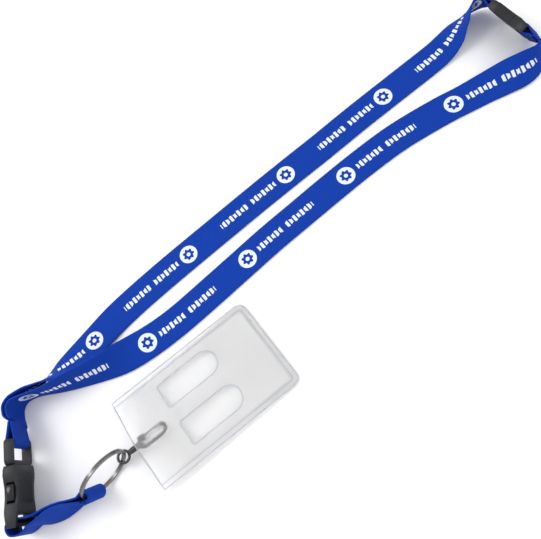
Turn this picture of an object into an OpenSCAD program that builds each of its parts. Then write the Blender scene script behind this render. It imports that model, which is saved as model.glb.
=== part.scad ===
// Lanyard badge holder: a flat neck strap with a breakaway clasp and a side-release
// buckle, a short strap, a split ring, a swivel trigger clip and a frosted card holder.
// It lies on a table, +Z up, with the origin under the middle of the whole object.

/* [Strap] */
// Width of the webbing
strap_w = 20; // [19.5:0.1:20.2]
// Thickness of one layer of webbing
strap_t = 1.1; // [0.8:0.1:1.2]

/* [Release buckle] */
// Width of the buckle across the strap
buckle_w = 25; // [24.6:0.1:26]
// Thickness of the buckle body
buckle_t = 7.4; // [7:0.1:8]
// Heading of the buckle on the table
buckle_heading = 153.6; // [150:0.1:158]
// Lean of the buckle's face past upright
buckle_lean = 10; // [6:1:12]

/* [Breakaway clasp] */
// Thickness of the clasp at its middle
clasp_t = 6.4; // [6:0.1:7]
// Lean of the clasp from upright
clasp_lean = 32; // [28:1:36]

/* [Split ring] */
// Mean radius of the ring
ring_r = 15; // [14.8:0.1:15.2]
// Radial width of the flat wire
ring_wire_w = 1.8; // [1.4:0.1:1.9]
// Height of both turns together
ring_wire_h = 2.1; // [1.8:0.1:2.2]

/* [Trigger clip] */
// Radius of the wire of the hook
hook_wire_r = 1; // [0.9:0.05:1]
// Radius of the hook's loop at the middle of its wire
hook_loop_r = 4; // [3.9:0.1:4.1]
// Roll of the hook about the clip's axis
hook_roll = -28; // [-30:1:-26]

/* [Card holder] */
// Length of the front panel
holder_l = 97.4; // [96:0.1:99]
// Width of the holder
holder_w = 60; // [59:0.5:61]
// Thickness of each sheet
sheet_t = 0.5; // [0.4:0.05:0.6]
// Depth of the card pocket
pocket_d = 1; // [0.9:0.1:1.2]
// Length of each thumb slot
thumb_l = 38; // [34:1:40]
// Width of each thumb slot
thumb_w = 15; // [13:0.5:16]

/* [Hidden] */
$fn = 48;

// Where the working layout's zero lies from the object's own origin.
layout_shift = [-6.4, 2, 0];
// Running gap between parts that slide or turn on each other.
run_gap = 0.15;

// Middle of the mouth of the buckle's socket, and its turn: local X across the strap,
// local Y from the plug to the socket, local Z out of the face.
buckle_at = [-186.2, 9.5, 13];
buckle_turn = [0, -90 - buckle_lean, buckle_heading];
plug_bar_y = -13;
plug_bar_r = 1.6;
socket_bar_y = 31.2;
socket_bar_r = 1.7;
socket_l = 33;
cavity_w = 18.6;
cavity_h = 4.4;
cavity_l = 21;

// Middle of the clasp; local Y runs from the left strap's half to the right strap's half.
clasp_at = [208.5, 31, 12.6];
clasp_turn = [0, clasp_lean - 90, 180];
clasp_bar_y = 12.3;
clasp_bar_r = 1.5;
clasp_end_y = 13.8;
clasp_split_y = 2.5;
fold_end_y = 19;

// Centre of the ring, its turn, and the angles on it of the strap's fold and the clip's eye.
ring_at = [-144.4, -27.6, 16.3];
ring_turn = [90, 0, 16.5];
ring_fold_angle = 195;
ring_fold_r = 13.85;
ring_fold_bore = 3;
ring_fold_l = 16;

// Centre of the clip's eye and the clip's slope down to the holder.
clip_at = [-133.7, -24.4, 6.3];
clip_slope = 7;
eye_r = 3.4;
eye_wire_r = 0.8;
stem_r = 1.05;
neck_r = 1.8;
neck_x = [5.4, 12];
loop_x = [15, 24.7];
gate_pivot_x = 14.6;
gate_pin_r = 0.42;

// Far edge of the holder on the table, and the holder's slope up to the clip.
holder_far = [-27, -24, 0.3];
holder_slope = 2.2;
back_l = 88;
slot_x = 79.6;
chain_hole_x = 84.6;
chain_hole_y = 16.2;
chain_hole_r = 1.6;
weld_w = 3;
holder_corner = 5;

// Left strap, from the clasp to the buckle: x, y, z and roll, where 0 lies flat.
left_route = [[208.5, 50.3, 12.6, 58], [208.5, 52.4, 12.6, 62], [206.8, 55.3, 12.2, 72],
    [203, 57, 11.4, 76], [197, 57, 10.2, 68], [189, 55, 7.8, 45], [180, 53, 3.8, 18], [170, 52, 1.4, 4],
    [158, 52, 0.9, 0.3], [135, 52.5, 0.8, 0], [105, 53, 0.9, 0], [73, 53, 0.8, 0],
    [52, 53.2, 0.9, -0.3], [25, 53.4, 0.8, 0], [0, 53.2, 0.9, 0.3], [-25, 53, 0.8, 0],
    [-50, 52.6, 0.9, -0.3], [-75, 51.8, 0.8, 0], [-95, 50.2, 0.9, 0], [-112, 47.4, 1.5, 4],
    [-127, 44.8, 3.4, 14], [-141, 43.8, 8, 45], [-151, 44, 10.2, 70], [-158, 44.6, 10.7, 84],
    [-164, 45.2, 10.8, 88], [-170, 45.2, 10.8, 90], [-175, 42.7, 10.9, 88],
    [-177.1, 37, 11.6, 84], [-176, 31.5, 12.9, 80]];
// Right strap, from the clasp to the buckle.
right_route = [[208.5, 11.7, 12.6, -58], [208.5, 9.4, 12.6, -61], [207.4, 6.2, 12, -70],
    [204.4, 4, 11, -72], [199.5, 3.2, 9.6, -62], [192, 4.6, 7.4, -42], [183, 8.4, 4.6, -22],
    [172, 12.4, 1.9, -7], [158, 16, 0.9, 0.3], [141, 20, 0.8, 0], [113, 24.6, 0.9, 0], [86, 26.2, 0.8, 0],
    [59, 26.3, 0.9, -0.3], [34, 26, 0.8, 0], [10, 25.6, 0.9, 0.3], [-15, 24.4, 0.8, 0],
    [-39, 23.2, 0.9, -0.3], [-63, 22.4, 0.8, 0], [-82, 22.8, 1.7, -5], [-98, 24, 4.2, -20],
    [-112, 25.6, 7.9, -46], [-125, 28.6, 9.6, -62], [-138, 32.5, 10.3, -74],
    [-149, 36, 10.6, -86], [-157, 39.5, 10.7, -92], [-163, 42, 10.7, -94],
    [-169, 43.3, 10.8, -92], [-173, 41.3, 10.8, -92], [-174.8, 36.5, 11.6, -95],
    [-174.8, 30.9, 12.7, -100]];
// Short strap, both layers as one, from the socket's bar to the ring.
short_route = [[-193.5, -21.7, 11.5, 90], [-188, -24.2, 11, 80], [-181, -26, 10.8, 72],
    [-173.5, -27.4, 11, 76], [-167, -28.6, 11.4, 88], [-161.3, -30, 11.8, 98.7]];
// Thickness and width of the short strap at each of those points.
short_section = [[5.9, 20], [4.4, 20], [2.9, 20], [2.4, 19.6], [2.8, 18.4], [5, 16]];

// ---- sweeping a flat strap along a route ----

function unit(v) = v / norm(v);
function route_point(route, i) = [route[i].x, route[i].y, route[i].z];
function route_tangent(route, i) = unit(route_point(route, min(i + 1, len(route) - 1))
    - route_point(route, max(i - 1, 0)));
function side_flat(t) = unit(cross([0, 0, 1], t));
// Direction across the strap: level at roll 0, upright at roll 90.
function side_rolled(t, roll) = cos(roll) * side_flat(t) + sin(roll) * cross(t, side_flat(t));
// The four corners of the strap's section at one point of its route.
function strap_ring(route, i, section) = let (t = route_tangent(route, i),
        s = side_rolled(t, route[i][3]) * section[1] / 2, u = unit(cross(t, s)) * section[0] / 2,
        p = route_point(route, i)) [p + s + u, p - s + u, p - s - u, p + s - u];
function strap_faces(n) = concat([[0, 1, 2], [0, 2, 3]],
    [for (i = [0 : n - 2]) for (k = [0 : 3]) each let (a = 4 * i + k, b = 4 * i + (k + 1) % 4)
        k < 2 ? [[a, a + 4, b], [b, a + 4, b + 4]] : [[a, a + 4, b + 4], [a, b + 4, b]]],
    [[4 * n - 4, 4 * n - 2, 4 * n - 3], [4 * n - 4, 4 * n - 1, 4 * n - 2]]);

module strap(route, sections) {
    points = [for (i = [0 : len(route) - 1]) each strap_ring(route, i, sections[i])];
    polyhedron(points, strap_faces(len(route)));
}

module even_strap(route) {
    strap(route, [for (p = route) [strap_t, strap_w]]);
}

// ---- frames ----

module on_buckle() {
    translate(layout_shift + buckle_at) rotate(buckle_turn) children();
}

module on_clasp() {
    translate(layout_shift + clasp_at) rotate(clasp_turn) children();
}

module on_ring() {
    translate(layout_shift + ring_at) rotate(ring_turn) children();
}

module on_clip() {
    translate(layout_shift + clip_at) rotate([0, clip_slope, 0]) children();
}

module on_hook() {
    on_clip() rotate([hook_roll, 0, 0]) children();
}

// The holder's X runs from its far end to the clip end.
module on_holder() {
    translate(layout_shift + holder_far) rotate([0, holder_slope, 0]) mirror([1, 0, 0]) children();
}

// Extrudes a profile drawn in local Y and Z across local X.
module across(width) {
    rotate([90, 0, 90]) linear_extrude(width, center = true) children();
}

module round_slab(size, corner) {
    linear_extrude(size.z, center = true) round_rect([size.x, size.y], corner);
}

module round_rect(size, corner) {
    square([size.x - 2 * corner, size.y], center = true);
    square([size.x, size.y - 2 * corner], center = true);
    for (x = [-1, 1]) for (y = [-1, 1])
        translate([x * (size.x / 2 - corner), y * (size.y / 2 - corner)]) circle(corner);
}

module cross_bar(radius, length) {
    rotate([0, 90, 0]) cylinder(h = length, r = radius, center = true);
}

// ---- neck strap ----

module neck_strap_left() {
    color("royalblue") translate(layout_shift) even_strap(left_route);
}

module neck_strap_right() {
    color("royalblue") translate(layout_shift) even_strap(right_route);
}

// The webbing turned back round a bar: an eye at the bar and a sewn stack beyond it.
module bar_fold(bar_y, bar_r, stack_y, stack_t) {
    outer = bar_r + run_gap + strap_t;
    near = abs(stack_y[0] - bar_y) < abs(stack_y[1] - bar_y) ? stack_y[0] : stack_y[1];
    color("mediumblue") across(strap_w) difference() {
        union() {
            translate([bar_y, 0]) circle(outer);
            polygon([[bar_y, outer], [near, stack_t / 2], [near, -stack_t / 2], [bar_y, -outer]]);
            translate([min(stack_y), -stack_t / 2]) square([abs(stack_y[1] - stack_y[0]), stack_t]);
        }
        translate([bar_y, 0]) circle(bar_r + run_gap);
    }
}

module neck_strap_plug_fold() {
    on_buckle() bar_fold(plug_bar_y, plug_bar_r, [-24, -20], 3.5);
}

module clasp_fold(side) {
    on_clasp() rotate([0, 0, side > 0 ? 0 : 180])
        bar_fold(clasp_bar_y, clasp_bar_r, [fold_end_y - 3, fold_end_y], 2.5);
}

module left_clasp_fold() {
    clasp_fold(-1);
}

module right_clasp_fold() {
    clasp_fold(1);
}

// Rows of thread lying on both faces of a sewn stack.
module stitch_rows(ys, stack_t) {
    color("navy") for (y = ys) for (face = [-1, 1])
        translate([0, y, face * (stack_t / 2 + 0.15)]) cube([strap_w - 3, 0.6, 0.3], center = true);
}

module neck_strap_join_stitching() {
    on_buckle() stitch_rows([-22.8, -20.8], 3.5);
}

module left_clasp_stitching() {
    on_clasp() stitch_rows([-fold_end_y + 1, -fold_end_y + 2.4], 2.5);
}

module right_clasp_stitching() {
    on_clasp() stitch_rows([fold_end_y - 1, fold_end_y - 2.4], 2.5);
}

// ---- breakaway clasp ----

module clasp_outline() {
    polygon([[-12.5, -clasp_end_y], [12.5, -clasp_end_y], [12.5, -8], [9.6, -3], [9.6, 3],
        [12.5, 8], [12.5, clasp_end_y], [-12.5, clasp_end_y], [-12.5, 8], [-9.6, 3],
        [-9.6, -3], [-12.5, -8]]);
}

// The clasp's whole body: the plan outline cut to the side profile.
module clasp_body() {
    half = clasp_t / 2;
    intersection() {
        linear_extrude(2 * clasp_t, center = true) clasp_outline();
        across(30) polygon([[-clasp_end_y, -2.2], [-8, -half], [8, -half], [clasp_end_y, -2.2],
            [clasp_end_y, 2.2], [8, half], [-8, half], [-clasp_end_y, 2.2]]);
    }
}

// One end of the body with its strap slot and bar.
module clasp_end(from_y, side) {
    slot_l = clasp_end_y - 8;
    difference() {
        intersection() {
            clasp_body();
            translate([0, side * (from_y + 20), 0]) cube([40, 40, 40], center = true);
        }
        translate([0, side * (8 + slot_l / 2 + 1), 0]) cube([20.8, slot_l + 2, 20], center = true);
    }
    translate([0, side * clasp_bar_y, 0]) cross_bar(clasp_bar_r, 21.2);
}

module breakaway_socket() {
    color("dimgray") on_clasp() difference() {
        union() {
            clasp_end(0, -1);
            intersection() {
                clasp_body();
                translate([0, clasp_split_y / 2, 0]) cube([40, clasp_split_y, 40], center = true);
            }
        }
        translate([0, -2, 0]) cube([10.3, 9.2, 2.7], center = true);
    }
}

module breakaway_plug() {
    color("dimgray") on_clasp() {
        clasp_end(clasp_split_y + 0.2, 1);
        translate([0, -0.8, 0]) cube([10, 8, 2.4], center = true);
    }
}

// ---- side-release buckle ----

module buckle_plug() {
    bar_slot_l = 13.2;
    color("dimgray") on_buckle() {
        difference() {
            translate([0, -7.6, 0]) round_slab([buckle_w, 14.8, 5.2], 3);
            translate([0, -2.6 - bar_slot_l / 2, 0]) cube([20.8, bar_slot_l, 10], center = true);
        }
        translate([0, plug_bar_y, 0]) cross_bar(plug_bar_r, 21.2);
        cube([18, 1, 3.8], center = true);
        translate([0, 9.2, 0]) cube([6, 17.8, 3.2], center = true);
    }
}

// A sprung arm with the button that stands in the socket's side window.
module latch_arm() {
    color("dimgray") linear_extrude(4, center = true)
        polygon([[7, 0.8], [9, 0.8], [9, 9.6], [11.6, 10.1], [12.3, 12], [12.4, 15], [11.7, 18.6],
            [9.6, 19.6], [7.6, 19.2], [7, 14]]);
}

module buckle_latch_upper() {
    on_buckle() latch_arm();
}

module buckle_latch_lower() {
    on_buckle() mirror([1, 0, 0]) latch_arm();
}

module socket_outline() {
    half = buckle_w / 2;
    polygon([[-half + 0.7, 0], [half - 0.7, 0], [half, 5], [half - 0.8, 8], [half - 1.9, 12],
        [half - 2, 17], [half - 1.2, 21], [half, 26], [half, socket_l], [-half, socket_l],
        [-half, 26], [-half + 1.2, 21], [-half + 2, 17], [-half + 1.9, 12], [-half + 0.8, 8],
        [-half, 5]]);
}

module buckle_socket() {
    color("dimgray") on_buckle() {
        difference() {
            intersection() {
                linear_extrude(buckle_t, center = true) socket_outline();
                across(40) polygon([[0, -3.2], [2, -3.7], [24, -3.7], [socket_l, -2.6],
                    [socket_l, 2.6], [24, 3.7], [2, 3.7], [0, 3.2]]);
            }
            translate([0, cavity_l / 2 - 0.5, 0]) cube([cavity_w, cavity_l + 1, cavity_h], center = true);
            for (side = [-1, 1]) translate([side * 12, 14.6, 0]) cube([8, 11.2, 4.8], center = true);
            translate([0, 31.5, 0]) cube([20.8, 10, 20], center = true);
        }
        translate([0, socket_bar_y, 0]) cross_bar(socket_bar_r, 21.2);
    }
}

// ---- short strap ----

module short_strap() {
    color("royalblue") translate(layout_shift) strap(short_route, short_section);
}

// The strap round the socket's bar, with its two legs leaving the buckle's face.
module short_strap_buckle_fold() {
    outer = socket_bar_r + run_gap + strap_t;
    inner = socket_bar_r + run_gap;
    leg_l = 7.2;
    color("mediumblue") on_buckle() across(strap_w) translate([socket_bar_y, 0]) {
        difference() {
            circle(outer);
            circle(inner);
            translate([-5, 0]) square([10, 10]);
        }
        for (side = [-1, 1]) translate([side * (inner + strap_t / 2), leg_l / 2])
            square([strap_t, leg_l], center = true);
    }
}

// The open eye that the strap makes round the ring's wire.
module short_strap_ring_fold() {
    color("mediumblue") on_ring() rotate([0, 0, ring_fold_angle]) translate([ring_fold_r, 0, 0])
        rotate([90, 0, 0]) difference() {
            cylinder(h = ring_fold_l, r = ring_fold_bore + strap_t, center = true);
            cylinder(h = ring_fold_l + 1, r = ring_fold_bore, center = true);
        }
}

// Two rows of thread across the short strap, close behind the ring.
module short_strap_stitching() {
    color("navy") on_ring() rotate([0, 0, ring_fold_angle]) translate([ring_fold_r, 0, 0])
        for (turn = [5, 28]) rotate([0, turn, 0]) translate([0, 0, ring_fold_bore + strap_t + 0.1])
            cube([0.6, ring_fold_l - 2, 0.4], center = true);
}

// ---- split ring ----

module split_ring() {
    groove = 0.1;
    w = ring_wire_w / 2;
    h = ring_wire_h / 2;
    color("silver") on_ring() rotate_extrude($fn = 96) translate([ring_r, 0])
        polygon([[-w, -h], [w, -h], [w, -groove], [0.3, -groove], [0.3, groove], [w, groove],
            [w, h], [-w, h], [-w, groove], [-0.3, groove], [-0.3, -groove], [-w, -groove]]);
}

// ---- trigger clip ----

module along_x(from_x, to_x, radius) {
    translate([from_x, 0, 0]) rotate([0, 90, 0]) cylinder(h = to_x - from_x, r = radius);
}

module clip_eye() {
    color("dimgray") on_clip() {
        rotate_extrude() translate([eye_r, 0]) circle(eye_wire_r, $fn = 24);
        along_x(eye_r + 0.2, 5.2, 1.6);
        along_x(eye_r + 0.2, 12.6, stem_r);
        along_x(neck_x[1] + 0.15, 13.2, 1.6);
    }
}

module loop_arc(from_angle, sweep) {
    rotate([0, 0, from_angle]) rotate_extrude(angle = sweep) translate([hook_loop_r, 0])
        circle(hook_wire_r, $fn = 24);
}

module clip_hook() {
    lug_r = 1.5;
    color("dimgray") on_hook() difference() {
        union() {
            along_x(neck_x[0], neck_x[1], neck_r);
            translate([loop_x[0], 0, 0]) loop_arc(136, 134);
            translate([0, -hook_loop_r, 0]) along_x(loop_x[0], loop_x[1], hook_wire_r);
            translate([loop_x[1], 0, 0]) loop_arc(270, 155);
            for (z = [-1, 1]) translate([gate_pivot_x - 1.2, hook_loop_r - 0.7, z * 1.15])
                cube([3.8, 2.2, 0.9], center = true);
        }
        along_x(neck_x[0] - 1, neck_x[1] + 0.1, stem_r + 0.1);
        translate([gate_pivot_x, hook_loop_r, 0]) cylinder(h = 6, r = gate_pin_r, center = true);
        translate([gate_pivot_x, hook_loop_r, 0]) cylinder(h = 2, r = lug_r, center = true);
        along_x(neck_x[1] + 0.05, 13.4, 1.75);
    }
}

module clip_gate() {
    color("dimgray") on_hook() translate([gate_pivot_x, hook_loop_r, 0]) difference() {
        union() {
            translate([0, 0, 0.3]) cylinder(h = 1.1, r = 1.2, center = true);
            along_x(1, 10.4, 0.55);
            translate([9.9, 0, 0]) rotate([0, 90, 0]) cylinder(h = 1.6, r = 0.75, center = true);
        }
        cylinder(h = 4, r = gate_pin_r + 0.04, center = true);
    }
}

module clip_gate_pin() {
    color("gray") on_hook() translate([gate_pivot_x, hook_loop_r, 0])
        cylinder(h = 3.4, r = gate_pin_r, center = true);
}

module clip_gate_spring() {
    color("lightgray") on_hook() translate([gate_pivot_x, hook_loop_r, -0.65]) difference() {
        cylinder(h = 0.5, r = 0.85, center = true);
        cylinder(h = 2, r = gate_pin_r + 0.06, center = true);
    }
}

// ---- card holder ----

// A sheet's outline: square at the clip end, round at the corners of the far end.
module holder_outline(length) {
    r = holder_corner;
    translate([r, -holder_w / 2]) square([length - r, holder_w]);
    translate([0, r - holder_w / 2]) square([r + 1, holder_w - 2 * r]);
    for (side = [-1, 1]) translate([r, side * (holder_w / 2 - r)]) circle(r);
}

module holder_back_panel() {
    color("whitesmoke") on_holder() difference() {
        linear_extrude(sheet_t) holder_outline(back_l);
        translate([slot_x, 0, 0]) round_slab([5, 15, 4], 2.4);
        for (side = [-1, 1]) translate([chain_hole_x, side * chain_hole_y, 0])
            cylinder(h = 4, r = chain_hole_r, center = true);
    }
}

// How far the front sheet stands off the back sheet: nothing on the welds, the pocket's
// depth inside them, and a crown over the clip at the open end.
function rise(x, y) = let (edge = min(x, holder_w / 2 - abs(y)),
        inner = min(1, max(0, (edge - weld_w) / 1.5)), open = max(0, 1 - (holder_l - x) / 36),
        crown = abs(y) < 25 ? pow(cos(90 * y / 25), 2) : 0)
    pocket_d * inner + 3.4 * pow(open, 1.4) * crown;

module holder_front_panel() {
    xs = [0, weld_w, weld_w + 1.5, 20, 40, 60, 66, 72, 78, 84, 90, 94, holder_l];
    ys = [-30, -27, -25.5, -20, -14, -9, -4.5, 0, 4.5, 9, 14, 20, 25.5, 27, 30] * holder_w / 60;
    nx = len(xs);
    ny = len(ys);
    low = [for (x = xs) for (y = ys) [x, y, sheet_t + rise(x, y)]];
    high = [for (p = low) p + [0, 0, sheet_t]];
    m = nx * ny;
    grid = [for (i = [0 : nx - 2]) for (j = [0 : ny - 2]) each let (a = i * ny + j)
        [[a, a + 1, a + ny], [a + 1, a + ny + 1, a + ny]]];
    rim = concat([for (j = [0 : ny - 1]) j], [for (i = [1 : nx - 1]) i * ny + ny - 1],
        [for (j = [ny - 2 : -1 : 0]) (nx - 1) * ny + j], [for (i = [nx - 2 : -1 : 1]) i * ny]);
    walls = [for (k = [0 : len(rim) - 1]) each let (a = rim[k], b = rim[(k + 1) % len(rim)])
        [[a, a + m, b], [b, a + m, b + m]]];
    color("whitesmoke") on_holder() difference() {
        intersection() {
            translate([0, 0, -1]) linear_extrude(20) holder_outline(holder_l + 1);
            polyhedron(concat(low, high), concat([for (f = grid) [f[2], f[1], f[0]]],
                [for (f = grid) [f[0] + m, f[1] + m, f[2] + m]], walls));
        }
        for (y = [-16.6, 9]) translate([69.6 - thumb_l, y + 3.8, 0]) linear_extrude(20, center = true)
            thumb_slot();
    }
}

// A slot with a round far end and a straight end towards the clip.
module thumb_slot() {
    translate([thumb_w / 2, 0]) circle(thumb_w / 2, $fn = 32);
    translate([thumb_w / 2, -thumb_w / 2]) square([thumb_l - thumb_w / 2, thumb_w]);
}

neck_strap_left();
neck_strap_right();
neck_strap_plug_fold();
neck_strap_join_stitching();
breakaway_socket();
breakaway_plug();
left_clasp_fold();
right_clasp_fold();
left_clasp_stitching();
right_clasp_stitching();
buckle_plug();
buckle_latch_upper();
buckle_latch_lower();
buckle_socket();
short_strap();
short_strap_buckle_fold();
short_strap_ring_fold();
short_strap_stitching();
split_ring();
clip_eye();
clip_hook();
clip_gate();
clip_gate_pin();
clip_gate_spring();
holder_back_panel();
holder_front_panel();
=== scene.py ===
"""Looks of the lanyard badge holder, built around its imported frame.

The woven neck strap, the sewn folds, the plastics, the split ring, the clip and the
frosted holder are each made by one class, and every finish is a small class of its own.
"""

import logging
import math
from dataclasses import dataclass
from enum import Enum

import bmesh
import bpy
import numpy as np
from mathutils import Euler, Matrix, Vector

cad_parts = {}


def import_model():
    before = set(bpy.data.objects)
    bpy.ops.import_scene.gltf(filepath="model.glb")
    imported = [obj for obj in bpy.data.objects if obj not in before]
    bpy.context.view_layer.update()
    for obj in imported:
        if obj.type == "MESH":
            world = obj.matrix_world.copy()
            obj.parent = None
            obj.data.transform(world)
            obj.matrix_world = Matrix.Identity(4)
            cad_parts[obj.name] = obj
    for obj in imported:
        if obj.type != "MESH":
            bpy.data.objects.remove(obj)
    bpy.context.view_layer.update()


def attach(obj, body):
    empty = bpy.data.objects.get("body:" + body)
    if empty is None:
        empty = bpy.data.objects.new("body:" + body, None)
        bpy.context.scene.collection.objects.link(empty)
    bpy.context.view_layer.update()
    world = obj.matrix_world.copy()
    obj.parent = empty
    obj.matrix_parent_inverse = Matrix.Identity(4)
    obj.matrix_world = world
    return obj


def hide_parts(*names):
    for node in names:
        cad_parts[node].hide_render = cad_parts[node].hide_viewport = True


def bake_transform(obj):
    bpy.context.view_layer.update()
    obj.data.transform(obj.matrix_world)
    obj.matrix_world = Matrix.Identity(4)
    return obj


LOG = logging.getLogger("lanyard")
Socket = bpy.types.NodeSocket
Material = bpy.types.Material
Piece = bpy.types.Object
MM = 0.001
LAYOUT_SHIFT = np.array([-6.4, 2.0, 0.0])
STRAP_WIDTH = 20.0
STRAP_THICKNESS = 1.1


class Body(Enum):
    """The rigid bodies that pieces ride on."""

    NECK_STRAP = "neck_strap"
    BREAKAWAY_HALF = "breakaway_half"
    LATCH_UPPER = "latch_upper"
    LATCH_LOWER = "latch_lower"
    RELEASE_HALF = "release_half"
    RING = "ring"
    EYE = "eye"
    HOOK = "hook"
    GATE = "gate"
    HOLDER = "holder"


class Lay(Enum):
    """Which way a printed strap runs, so that its motif reads along it."""

    FORWARD = 1
    TURNED = -1


# Strap routes in millimetres: x, y, z and roll in degrees, where 0 lies flat.
LEFT_ROUTE = [
    (208.5, 50.3, 12.6, 58), (208.5, 52.4, 12.6, 62), (206.8, 55.3, 12.2, 72), (203, 57, 11.4, 76),
    (197, 57, 10.2, 68), (189, 55, 7.8, 45), (180, 53, 3.8, 18), (170, 52, 1.4, 4),
    (158, 52, 0.9, 0.3), (135, 52.5, 0.8, 0), (105, 53, 0.9, 0), (73, 53, 0.8, 0),
    (52, 53.2, 0.9, -0.3), (25, 53.4, 0.8, 0), (0, 53.2, 0.9, 0.3), (-25, 53, 0.8, 0),
    (-50, 52.6, 0.9, -0.3), (-75, 51.8, 0.8, 0), (-95, 50.2, 0.9, 0), (-112, 47.4, 1.5, 4),
    (-127, 44.8, 3.4, 14), (-141, 43.8, 8, 45), (-151, 44, 10.2, 70), (-158, 44.6, 10.7, 84),
    (-164, 45.2, 10.8, 88), (-170, 45.2, 10.8, 90), (-175, 42.7, 10.9, 88),
    (-177.1, 37, 11.6, 84), (-176, 31.5, 12.9, 80),
]
RIGHT_ROUTE = [
    (208.5, 11.7, 12.6, -58), (208.5, 9.4, 12.6, -61), (207.4, 6.2, 12, -70), (204.4, 4, 11, -72),
    (199.5, 3.2, 9.6, -62), (192, 4.6, 7.4, -42), (183, 8.4, 4.6, -22), (172, 12.4, 1.9, -7),
    (158, 16, 0.9, 0.3), (141, 20, 0.8, 0), (113, 24.6, 0.9, 0), (86, 26.2, 0.8, 0),
    (59, 26.3, 0.9, -0.3), (34, 26, 0.8, 0), (10, 25.6, 0.9, 0.3), (-15, 24.4, 0.8, 0),
    (-39, 23.2, 0.9, -0.3), (-63, 22.4, 0.8, 0), (-82, 22.8, 1.7, -5), (-98, 24, 4.2, -20),
    (-112, 25.6, 7.9, -46), (-125, 28.6, 9.6, -62), (-138, 32.5, 10.3, -74),
    (-149, 36, 10.6, -86), (-157, 39.5, 10.7, -92), (-163, 42, 10.7, -94),
    (-169, 43.3, 10.8, -92), (-173, 41.3, 10.8, -92), (-174.8, 36.5, 11.6, -95),
    (-174.8, 30.9, 12.7, -100),
]
SHORT_ROUTE = [
    (-193.5, -21.7, 11.5, 90), (-188, -24.2, 11, 80), (-181, -26, 10.8, 72),
    (-173.5, -27.4, 11, 76), (-167, -28.6, 11.4, 88), (-161.3, -30, 11.8, 98.7),
]
SHORT_GAPS = [2.4, 1.7, 0.95, 0.7, 0.9, 1.5]
SHORT_WIDTHS = [20, 20, 20, 19.6, 18.4, 16]


def turn(x: float, y: float, z: float) -> np.ndarray:
    """Gives the 3 by 3 turn about X, then Y, then Z, in degrees."""
    return np.array(Euler([math.radians(a) for a in (x, y, z)], "XYZ").to_matrix())


@dataclass(frozen=True)
class Place:
    """Where a sub-assembly stands: its middle in millimetres and its turn."""

    at: tuple
    turned: tuple

    def world(self, points: np.ndarray) -> np.ndarray:
        """Moves points from the sub-assembly's own axes to the object's, in millimetres.

        Args:
            points: An array of points, one per row.

        Returns:
            The same points in the object's axes.
        """
        matrix = turn(*self.turned)
        return np.asarray(points, float) @ matrix.T + np.array(self.at) + LAYOUT_SHIFT

    def matrix(self) -> Matrix:
        """Gives the placing as a matrix that works in metres."""
        place = Matrix(turn(*self.turned).tolist()).to_4x4()
        place.translation = Vector((np.array(self.at) + LAYOUT_SHIFT) * MM)
        return place


BUCKLE = Place((-186.2, 9.5, 13.0), (0, -100, 153.6))
CLASP = Place((208.5, 31.0, 12.6), (0, -58, 180))
RING = Place((-144.4, -27.6, 16.3), (90, 0, 16.5))


# ---- shader helpers ----


class Shader:
    """A material under construction, with short calls for its maths."""

    def __init__(self, name: str, colour: tuple, roughness: float, metallic: float = 0.0) -> None:
        """Starts a material whose plain values are set on the sockets themselves.

        Args:
            name: The material's name.
            colour: Linear red, green and blue.
            roughness: From 0, polished, to 1, dull.
            metallic: 1 for bare metal.
        """
        self.material = bpy.data.materials.new(name)
        self.material.use_nodes = True
        self.nodes = self.material.node_tree.nodes
        self.links = self.material.node_tree.links
        self.bsdf = self.nodes["Principled BSDF"]
        self.set("Base Color", (*colour, 1.0))
        self.set("Roughness", roughness)
        self.set("Metallic", metallic)

    def set(self, socket: str, value: object) -> None:
        """Sets one socket of the surface shader."""
        self.bsdf.inputs[socket].default_value = value

    def feed(self, socket: str, output: Socket) -> None:
        """Links an output to one socket of the surface shader."""
        self.links.new(output, self.bsdf.inputs[socket])

    def math(self, kind: str, first: object, second: object = 0.0) -> Socket:
        """Adds one maths node.

        Args:
            kind: The operation's name.
            first: A number or an output.
            second: A number or an output.

        Returns:
            The node's output.
        """
        node = self.nodes.new("ShaderNodeMath")
        node.operation = kind
        for slot, value in enumerate((first, second)):
            if isinstance(value, (int, float)):
                node.inputs[slot].default_value = value
            else:
                self.links.new(value, node.inputs[slot])
        return node.outputs[0]

    def mix(self, amount: object, low: object, high: object) -> Socket:
        """Mixes two colours.

        Args:
            amount: A number or an output, 0 for low and 1 for high.
            low: A colour or an output.
            high: A colour or an output.

        Returns:
            The mixed colour.
        """
        node = self.nodes.new("ShaderNodeMix")
        node.data_type = "RGBA"
        for slot, value in ((0, amount), (6, low), (7, high)):
            if isinstance(value, Socket):
                self.links.new(value, node.inputs[slot])
            else:
                node.inputs[slot].default_value = value if slot == 0 else (*value, 1.0)
        return node.outputs[2]

    def noise(self, scale: float, detail: float = 3.0) -> Socket:
        """Adds noise that reads the object's own coordinates.

        Args:
            scale: Grains per metre.
            detail: How many finer layers the noise has.

        Returns:
            The noise's value.
        """
        where = self.nodes.new("ShaderNodeTexCoord")
        node = self.nodes.new("ShaderNodeTexNoise")
        node.inputs["Scale"].default_value = scale
        node.inputs["Detail"].default_value = detail
        self.links.new(where.outputs["Object"], node.inputs["Vector"])
        return node.outputs["Fac"]

    def bump(self, height: Socket, strength: float, distance: float) -> None:
        """Raises the surface by a height pattern.

        Args:
            height: The pattern.
            strength: From 0 to 1.
            distance: The pattern's height in metres.
        """
        node = self.nodes.new("ShaderNodeBump")
        node.inputs["Strength"].default_value = strength
        node.inputs["Distance"].default_value = distance
        self.links.new(height, node.inputs["Height"])
        self.feed("Normal", node.outputs["Normal"])


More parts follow.
